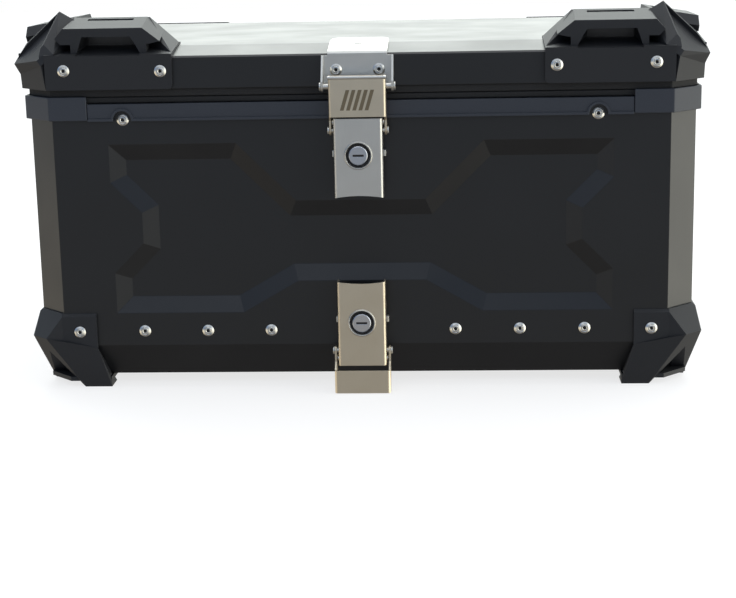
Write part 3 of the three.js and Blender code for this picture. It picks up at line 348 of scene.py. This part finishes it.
# Rounds every edge that turns by more than the least angle, by the radius or as much as there is room for.
def roundedCopy(node, radius, least):
    mesh = cleanMesh(node)
    layer = mesh.edges.layers.float.new("bevel_weight_edge")
    for edge in mesh.edges:
        if len(edge.link_faces) == 2 and edge.calc_face_angle(0) > math.radians(least):
            room = roomBeside(edge)
            share = roundingRoom["share" if room > roundingRoom["thinSheet"] * mm else "thinShare"]
            edge[layer] = min(1.0, share * room / radius)
    data = bpy.data.meshes.new(node + "_finished")
    mesh.to_mesh(data)
    mesh.free()
    made = linkObject(node + "_finished", data)
    bevel = made.modifiers.new("rounding", "BEVEL")
    bevel.limit_method = "WEIGHT"
    bevel.width = radius
    bevel.segments = roundingFaces
    bevel.use_clamp_overlap = True
    applied(made, made.name)
    belongs(smoothed(made, creaseAngle), node)


# Radius in mm and least angle in degrees.
rounding = dict(
    body_shell=(4.2, 10),
    bottom_pan=(2.0, 14),
    lid_shell=(2.2, 6),
    lid_rim=(0.8, 14),
    rim_gasket=(1.2, 14),
    rear_hook_plate=(0.8, 14),
    latch_bracket=(0.5, 12),
    upper_latch_base=(0.4, 20),
    lower_latch_base=(0.4, 20),
)
roundingByPart = dict(
    foot_guard=(1.3, 10),
    rim_corner=(0.8, 14),
    rim_rail=(0.5, 14),
    lid_guard=(1.6, 10),
    hinge_leaf=(0.5, 25),
    lever=(0.45, 30),
    link=(0.4, 30),
    lock_cam=(0.3, 25),
)
roundingElse = (0.25, 32)


def roundingOf(node):
    if node in rounding:
        return rounding[node]
    matches = (size for part, size in roundingByPart.items() if part in node and "pin" not in node)
    return next(matches, roundingElse)


for node in sorted(nodes):
    if "rivet" in node or "lock_bezel" in node:
        continue  # these are made anew below
    radius, least = roundingOf(node)
    roundedCopy(node, radius * mm, least)
print("designed pieces finished")


# Turns a profile of radius and height in mm round +Z.
def turnedMesh(name, profile, steps):
    mesh = bmesh.new()
    rings = []
    for radius, height in profile:
        if radius == 0:
            rings.append([mesh.verts.new((0, 0, height * mm))])
            continue
        out = radius * mm
        ring = []
        for i in range(steps):
            turn = 2 * math.pi * i / steps
            ring.append(mesh.verts.new((out * math.cos(turn), out * math.sin(turn), height * mm)))
        rings.append(ring)
    for outer, inner in zip(rings, rings[1:]):
        for i in range(steps):
            j = (i + 1) % steps
            corners = [outer[i % len(outer)], outer[j % len(outer)]]
            corners += [inner[j % len(inner)], inner[i % len(inner)]]
            mesh.faces.new(list(dict.fromkeys(corners)))
    bmesh.ops.recalc_face_normals(mesh, faces=mesh.faces)
    data = bpy.data.meshes.new(name)
    mesh.to_mesh(data)
    mesh.free()
    return data


# Turns and moves a mesh that was made round +Z so that it stands at a place and faces a direction.
def stood(mesh, place, facing):
    turn = Vector((0, 0, 1)).rotation_difference(Vector(facing)).to_matrix().to_4x4()
    mesh.transform(Matrix.Translation(place) @ turn)
    return mesh


def smoothFinished(made, angle):
    return applied(smoothed(made, angle), made.name)


# One rivet head, set wherever a point with a facing direction is. Radii and heights in mm.
rivetHead = dict(
    flange=4.9,
    edge=0.35,
    shoulder=0.5,
    dome=1.6,
    crown=0.1,  # the dome's fall from the mandrel to the groove
    soft=0.35,
    groove=3.0,
    grooveDeep=0.5,
    grooveWide=0.4,
    mandrel=1.45,
    mouth=0.3,
    deep=1.8,
    steps=28,
)
# A dark disc set down in each head's mandrel hole, as painted shade where the hole is deep.
rivetBore = dict(top=0.7, bottom=0.3, steps=16)


def rivetProfile():
    r = rivetHead
    return [
        (0, -r["deep"]),
        (r["mandrel"], -r["deep"]),
        (r["mandrel"], r["dome"] - r["mouth"]),
        (r["mandrel"] + r["soft"], r["dome"]),
        (r["groove"] - r["soft"], r["dome"] - r["crown"]),
        (r["groove"], r["dome"] - r["grooveDeep"]),
        (r["groove"] + r["grooveWide"], r["dome"] - r["soft"]),
        (r["flange"] - r["shoulder"], r["edge"] + r["soft"]),
        (r["flange"], r["edge"]),
        (r["flange"], -r["edge"]),
    ]


def boreShadeProfile():
    radius = rivetHead["mandrel"]
    top, bottom = rivetBore["top"], rivetBore["bottom"]
    return [(0, top), (radius, top), (radius, bottom), (0, bottom)]


# Sets the head on every point, turned to the point's facing direction, in one mesh with its metal.
def rivetTree():
    tree = bpy.data.node_groups.new("rivets", "GeometryNodeTree")
    inputs = {"Points": "Geometry", "Head": "Object", "Size": "Float", "Metal": "Material"}
    for label, kind in inputs.items():
        tree.interface.new_socket(label, in_out="INPUT", socket_type="NodeSocket" + kind)
    tree.interface.new_socket("Rivets", in_out="OUTPUT", socket_type="NodeSocketGeometry")
    given = addNode(tree, "NodeGroupInput").outputs
    head = addNode(tree, "GeometryNodeObjectInfo", links={"Object": given["Head"]})
    facing = addNode(tree, "GeometryNodeInputNamedAttribute", {"data_type": "FLOAT_VECTOR"}, Name="facing")
    facingWay = {"Vector": facing.outputs["Attribute"]}
    turn = addNode(tree, "FunctionNodeAlignRotationToVector", {"axis": "Z"}, facingWay)
    placed = addNode(
        tree,
        "GeometryNodeInstanceOnPoints",
        links={
            "Points": given["Points"],
            "Instance": head.outputs["Geometry"],
            "Rotation": turn.outputs[0],
            "Scale": given["Size"],
        },
    )
    real = addNode(tree, "GeometryNodeRealizeInstances", links={"Geometry": placed.outputs[0]})
    metal = addNode(
        tree, "GeometryNodeSetMaterial", links={"Geometry": real.outputs[0], "Material": given["Metal"]}
    )
    addNode(tree, "NodeGroupOutput", links={"Rivets": metal.outputs[0]})
    return tree


rivetNodes = rivetTree()
headObject = linkObject("rivetHead", turnedMesh("rivetHead", rivetProfile(), rivetHead["steps"]))
boreShadeObject = linkObject("rivetBore", turnedMesh("rivetBore", boreShadeProfile(), rivetBore["steps"]))


# Sets one head at every place, each a point and a direction, as one piece on a body.
def spread(name, places, body, head, slot, replaced=()):
    mesh = bpy.data.meshes.new(name)
    mesh.from_pydata([place for place, _ in places], [], [])
    facing = mesh.attributes.new("facing", "FLOAT_VECTOR", "POINT")
    facing.data.foreach_set("vector", [value for _, direction in places for value in direction])
    made = linkObject(name, mesh)
    modifier = made.modifiers.new("rivets", "NODES")
    modifier.node_group = rivetNodes
    given = {"Head": head, "Size": 1.0, "Metal": materials[slot]}
    for item in rivetNodes.interface.items_tree:
        if item.in_out == "INPUT" and item.name in given:
            modifier[item.identifier] = given[item.name]
    applied(made, name)
    smoothFinished(made, 40)
    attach(made, body)
    if replaced:
        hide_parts(*replaced)


# The heads and, in a mesh of their own, a dark disc down in each bore: painted shade inside the hole.
def rivets(name, places, body, replaced=()):
    spread(name, places, body, headObject, "rivet_aluminium", replaced=replaced)
    spread(name + "_bores", places, body, boreShadeObject, "seal_rubber")


bodyLow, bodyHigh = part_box("body_shell")
middle = (bodyLow.y + bodyHigh.y) / 2
halfWide = bodyHigh.x
frontFace = bodyLow.y
domeHeight = 1.7 * mm  # of the designed heads


# The designed front rivets, then the same rivets on the sides and the back.
def caseRivets():
    places, replaced = [], []
    for node in sorted(nodes):
        if "rivet" not in node:
            continue
        low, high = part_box(node)
        x, z, y = (low.x + high.x) / 2, (low.z + high.z) / 2, low.y + domeHeight
        places.append(((x, y, z), (0, -1, 0)))
        replaced.append(node)
        if "rim" not in node:
            places.append(((x, 2 * middle - y, z), (0, 1, 0)))
        if "foot" in node:
            side = math.copysign(1, x)
            inset = halfWide - abs(x)
            proud = frontFace - y
            for y in (frontFace + inset, 2 * middle - frontFace - inset):
                places.append(((side * (halfWide + proud), y, z), (side, 0, 0)))
    rivets("case_rivets", places, "case", replaced)


lidGuardRivet = dict(near=36.3, far=116.0, nearHeight=15.9, farHeight=14.8, inset=0.75)


def lidRivets():
    g = lidGuardRivet
    rearLow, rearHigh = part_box("lid_guard_rear_left")
    face = rearHigh.y - middle - g["inset"] * mm
    sideFace = -rearLow.x - g["inset"] * mm
    halfDeep = middle - frontFace
    places = []
    for along, height in ((g["near"], g["nearHeight"]), (g["far"], g["farHeight"])):
        z = rearLow.z + height * mm
        for sx in (-1, 1):
            for sy in (-1, 1):
                places.append(((sx * (halfWide - along * mm), middle + sy * face, z), (0, sy, 0)))
                places.append(((sx * sideFace, middle + sy * (halfDeep - along * mm), z), (sx, 0, 0)))
    rivets("lid_guard_rivets", places, "lid")


bracketRivet = dict(across=17.5, drop=19.1, back=25.0, proud=1.9)


# Two rivets on the bracket's face, and one found by a ray from above on its sloping top.
def bracketRivets():
    b = bracketRivet
    low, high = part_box("latch_bracket")
    lidLow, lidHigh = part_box("lid_shell")
    face = lidLow.y - b["proud"] * mm
    z = lidHigh.z - b["drop"] * mm
    places = [((side * b["across"] * mm, face, z), (0, -1, 0)) for side in (-1, 1)]
    bracket = nodes["latch_bracket"]
    above = Vector((0, frontFace + b["back"] * mm, high.z + 100 * mm))
    points = [bracket.matrix_world @ vertex.co for vertex in bracket.data.vertices]
    surface = BVHTree.FromPolygons(points, [tuple(side.vertices) for side in bracket.data.polygons])
    place, normal, _, _ = surface.ray_cast(above, Vector((0, 0, -1)))
    places.append((tuple(place), tuple(normal * math.copysign(1, normal.z))))
    rivets("bracket_rivets", places, "lid")


caseRivets()
lidRivets()
bracketRivets()
bpy.data.objects.remove(headObject)
bpy.data.objects.remove(boreShadeObject)
print("rivets set")

# A lock has a dished ring set in the lever, a dark sleeve that paints the dark reflection in the dish's
# sides, and a key slot painted as a dark box of shade.
lockRing = dict(
    seat=1.2,  # behind the bezel's face
    rim=11.6,
    skirt=0.2,
    edge=0.15,
    lip=11.0,
    lipWide=0.5,
    dish=9.3,
    proud=0.9,
    sunk=0.4,
    deep=2.5,
    steps=56,
)
# The dark sleeve is a painted dark reflection: it stands in for the dark sides of the polished dish round the
# plug.
lockReflectionSleeve = dict(outer=9.1, inner=8.0, face=-0.2, deep=2.6, steps=48)
# Size of the dark box that paints the shade of the key slot, in mm.
keywayShade = dict(long=9.6, wide=1.7, thick=0.5, behind=0.33)


def addTurned(name, profile, steps, place, facing, slot, angle):
    made = linkObject(name, stood(turnedMesh(name, profile, steps), place, facing))
    made.data.materials.append(materials[slot])
    return smoothFinished(made, angle)


def makeLock(prefix):
    low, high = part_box(prefix + "_lock_bezel")
    centre = Vector(((low.x + high.x) / 2, low.y, (low.z + high.z) / 2))
    seat = centre + Vector((0, lockRing["seat"] * mm, 0))
    towardsViewer = (0, -1, 0)
    r = lockRing
    ring = [
        (r["rim"], -r["skirt"]),
        (r["rim"], r["edge"]),
        (r["lip"], r["proud"]),
        (r["lip"] - r["lipWide"], r["proud"]),
        (r["dish"], -r["sunk"]),
        (r["dish"], -r["deep"]),
    ]
    made = addTurned(prefix + "_lock_ring", ring, r["steps"], seat, towardsViewer, "stainless_steel", 45)
    belongs(made, prefix + "_lock_bezel")
    s = lockReflectionSleeve
    sleeve = [
        (s["outer"], -s["deep"]),
        (s["outer"], s["face"]),
        (s["inner"], s["face"]),
        (s["inner"], -s["deep"]),
    ]
    made = addTurned(prefix + "_lock_sleeve", sleeve, s["steps"], seat, towardsViewer, "seal_rubber", 45)
    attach(made, bodyOf[prefix + "_lock_bezel"])
    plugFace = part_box(prefix + "_lock_cylinder")[0].y
    # The key slot: a thin dark box just behind the plug's face, painted shade where the slot is deep.
    key = bmesh.new()
    bmesh.ops.create_cube(key, size=1)
    half = Vector((keywayShade["long"], keywayShade["thick"], keywayShade["wide"])) * mm / 2
    place = Vector((centre.x, plugFace + keywayShade["behind"] * mm, centre.z))
    for vertex in key.verts:
        vertex.co = place + Vector(2 * c * h for c, h in zip(vertex.co, half))
    data = bpy.data.meshes.new(prefix + "_keyway")
    key.to_mesh(data)
    key.free()
    data.materials.append(materials["seal_rubber"])
    made = linkObject(prefix + "_keyway", data)
    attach(made, bodyOf[prefix + "_lock_cylinder"])


makeLock("upper")
makeLock("lower")


# Slanted bars etched into the upper link's face.
etching = dict(wide=28.0, high=16.5, bars=5, bar=3.0, lean=5.0, below=11.5, thick=0.05, root=0.1)


# Acid-etched steel: dull and darker than the brushed face round it.
def etchedMaterial():
    material, tree = newMaterial("etchedSteel")
    dull = linear("#6d6350")
    shader = addNode(tree, "ShaderNodeBsdfPrincipled", Base_Color=dull, Metallic=0.6, Roughness=0.6)
    closeMaterial(tree, shader)
    return material


def makeEtching():
    low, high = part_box("upper_link")
    e = etching
    top = high.z - e["below"] * mm
    bottom = top - e["high"] * mm
    face = low.y - e["thick"] * mm
    pitch = (e["wide"] - e["lean"] - e["bar"]) / (e["bars"] - 1)
    vertices, faces = [], []
    for i in range(e["bars"]):
        left = -e["wide"] / 2 + i * pitch
        first = len(vertices)
        for x, z in (
            (left, bottom),
            (left + e["bar"], bottom),
            (left + e["bar"] + e["lean"], top),
            (left + e["lean"], top),
        ):
            vertices.append((x * mm, face, z))
            vertices.append((x * mm, low.y + e["root"] * mm, z))
        ring = [first, first + 2, first + 4, first + 6]
        faces.append(ring)
        faces.append([index + 1 for index in reversed(ring)])
        for a, b in zip(ring, ring[1:] + ring[:1]):
            faces.append([a, a + 1, b + 1, b])
    data = bpy.data.meshes.new("link_etching")
    data.from_pydata(vertices, [], faces)
    data.materials.append(etchedMaterial())
    made = linkObject("link_etching", data)
    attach(made, bodyOf["upper_link"])


makeEtching()


# The upper link's top edge is rolled over into a round bead.
linkBead = dict(radius=1.7, over=0.6, taper=1.2, inset=0.2, behind=1.1, steps=24)


def makeLinkBead():
    b = linkBead
    low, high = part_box("upper_link")
    half = high.x / mm - b["inset"]
    profile = [
        (0, -half - b["over"]),
        (b["taper"], -half - b["over"]),
        (b["radius"], -half + b["taper"]),
        (b["radius"], half - b["taper"]),
        (b["taper"], half + b["over"]),
        (0, half + b["over"]),
    ]
    place = (0, low.y + b["behind"] * mm, high.z - b["radius"] * mm)
    made = addTurned("upper_link_bead", profile, b["steps"], place, (1, 0, 0), "stainless_steel", 50)
    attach(made, bodyOf["upper_link"])


makeLinkBead()
print("locks and link finished")


stage = dict(half=6.0, shade="#8c8c8c", glow=0.75)  # metres, sRGB, strength


# A pale floor that glows a little, so that it stays near white under soft light.
def makeStage():
    size = stage["half"]
    mesh = bpy.data.meshes.new("floor")
    corners = [(-size, -size, 0), (size, -size, 0), (size, size, 0), (-size, size, 0)]
    mesh.from_pydata(corners, [], [(0, 1, 2, 3)])
    floor = linkObject("floor", mesh)
    material, tree = newMaterial("paleFloor")
    shade = addNode(tree, "ShaderNodeBsdfDiffuse", Color=linear(stage["shade"]))
    glow = addNode(tree, "ShaderNodeEmission", Color=(1, 1, 1, 1), Strength=stage["glow"])
    both = addNode(tree, "ShaderNodeAddShader", links={0: shade.outputs[0], 1: glow.outputs[0]})
    closeMaterial(tree, both)
    mesh.materials.append(material)
    floor.visible_glossy = False


# Light from the room by height, from straight down to straight up. Light from the sides is added to it,
# and light from the back takes its place.
roomLight = [
    (0.0, (0.2, 0.19, 0.18, 1)),
    (0.3, (0.3, 0.27, 0.24, 1)),
    (0.36, (0.72, 0.66, 0.55, 1)),
    (0.385, (0.45, 0.42, 0.37, 1)),
    (0.41, (0.54, 0.56, 0.54, 1)),
    (0.432, (0.4, 0.47, 0.58, 1)),
    (0.455, (0.44, 0.47, 0.48, 1)),
    (0.6, (0.13, 0.24, 0.46, 1)),
    (1.0, (0.8, 0.85, 0.9, 1)),
]
rightLight = (2.3, 2.25, 1.95, 1)
leftLight = (0.95, 0.82, 0.6, 1)
backLight = (2.7, 2.85, 2.75, 1)
backHighLight = (5.2, 5.5, 5.3, 1)
# Where each of them sets in and is full, as a share of the direction along its axis.
reach = dict(
    right=(0.45, 0.95),
    left=(-0.45, -0.95),
    leftLow=(0.0, -0.3),
    back=(0.4, 0.75),
    backUp=(-0.12, 0.05),
    backHigh=(0.3, 0.6),
)


def makeWorld():
    world = bpy.data.worlds.new("studio")
    bpy.context.scene.world = world
    world.use_nodes = True
    tree = world.node_tree
    tree.nodes.clear()
    direction = addNode(tree, "ShaderNodeTexCoord").outputs["Generated"]
    axes = addNode(tree, "ShaderNodeSeparateXYZ", links={"Vector": direction})

    def share(axis, part):
        start, end = reach[part]
        smooth = {"interpolation_type": "SMOOTHSTEP"}
        along = {"Value": axes.outputs[axis]}
        return addNode(tree, "ShaderNodeMapRange", smooth, along, From_Min=start, From_Max=end).outputs[0]

    def added(factor, below, colour):
        made = addNode(tree, "ShaderNodeMix", {"data_type": "RGBA", "blend_type": "ADD"}, links={0: factor})
        tree.links.new(below, made.inputs[6])
        made.inputs[7].default_value = colour
        return made.outputs[2]

    def product(first, second):
        made = addNode(tree, "ShaderNodeMath", {"operation": "MULTIPLY"})
        tree.links.new(first, made.inputs[0])
        tree.links.new(second, made.inputs[1])
        return made.outputs[0]

    upright = {"Value": axes.outputs["Z"]}
    height = addNode(tree, "ShaderNodeMapRange", links=upright, From_Min=-1.0, From_Max=1.0)
    room = addNode(tree, "ShaderNodeValToRGB", links={"Fac": height.outputs[0]})
    stops = room.color_ramp.elements
    stops[0].position, stops[0].color = roomLight[0]
    stops[1].position, stops[1].color = roomLight[-1]
    for position, colour in roomLight[1:-1]:
        stops.new(position).color = colour
    lit = added(share("X", "right"), room.outputs[0], rightLight)
    lit = added(product(share("X", "left"), share("Z", "leftLow")), lit, leftLight)
    behind = addNode(tree, "ShaderNodeMix", {"data_type": "RGBA"}, links={0: share("Z", "backHigh")})
    behind.inputs[6].default_value = backLight
    behind.inputs[7].default_value = backHighLight
    window = product(share("Y", "back"), share("Z", "backUp"))
    whole = addNode(tree, "ShaderNodeMix", {"data_type": "RGBA"}, links={0: window})
    tree.links.new(lit, whole.inputs[6])
    tree.links.new(behind.outputs[2], whole.inputs[7])
    surroundings = addNode(tree, "ShaderNodeBackground", links={"Color": whole.outputs[2]}, Strength=1.0)
    backdrop = addNode(tree, "ShaderNodeBackground", Color=(1, 1, 1, 1), Strength=1.0)
    seen = addNode(tree, "ShaderNodeLightPath").outputs["Is Camera Ray"]
    layers = {0: seen, 1: surroundings.outputs[0], 2: backdrop.outputs[0]}
    mixed = addNode(tree, "ShaderNodeMixShader", links=layers)
    addNode(tree, "ShaderNodeOutputWorld", links={"Surface": mixed.outputs[0]})


# Places and sizes in metres, power in watts.
lamps = dict(
    overhead=dict(place=(0, 0.3, 2.2), aim=(0, 0, 0.2), size=(2.4, 1.6), power=25),
    frontFill=dict(place=(-0.6, -2.6, 1.6), aim=(0, -0.2, 0.2), size=(1.4, 1.0), power=4),
)


def makeLight(name, place, aim, size, power):
    data = bpy.data.lights.new(name, "AREA")
    data.shape = "RECTANGLE"
    data.size, data.size_y = size
    data.energy = power
    made = bpy.data.objects.new(name, data)
    made.location = place
    made.rotation_mode = "QUATERNION"
    made.rotation_quaternion = (Vector(aim) - Vector(place)).to_track_quat("-Z", "Y")
    bpy.context.scene.collection.objects.link(made)


makeStage()
makeWorld()
for name, lamp in lamps.items():
    makeLight(name, **lamp)
bpy.context.scene.view_settings.view_transform = "Standard"
print("stage and light ready")
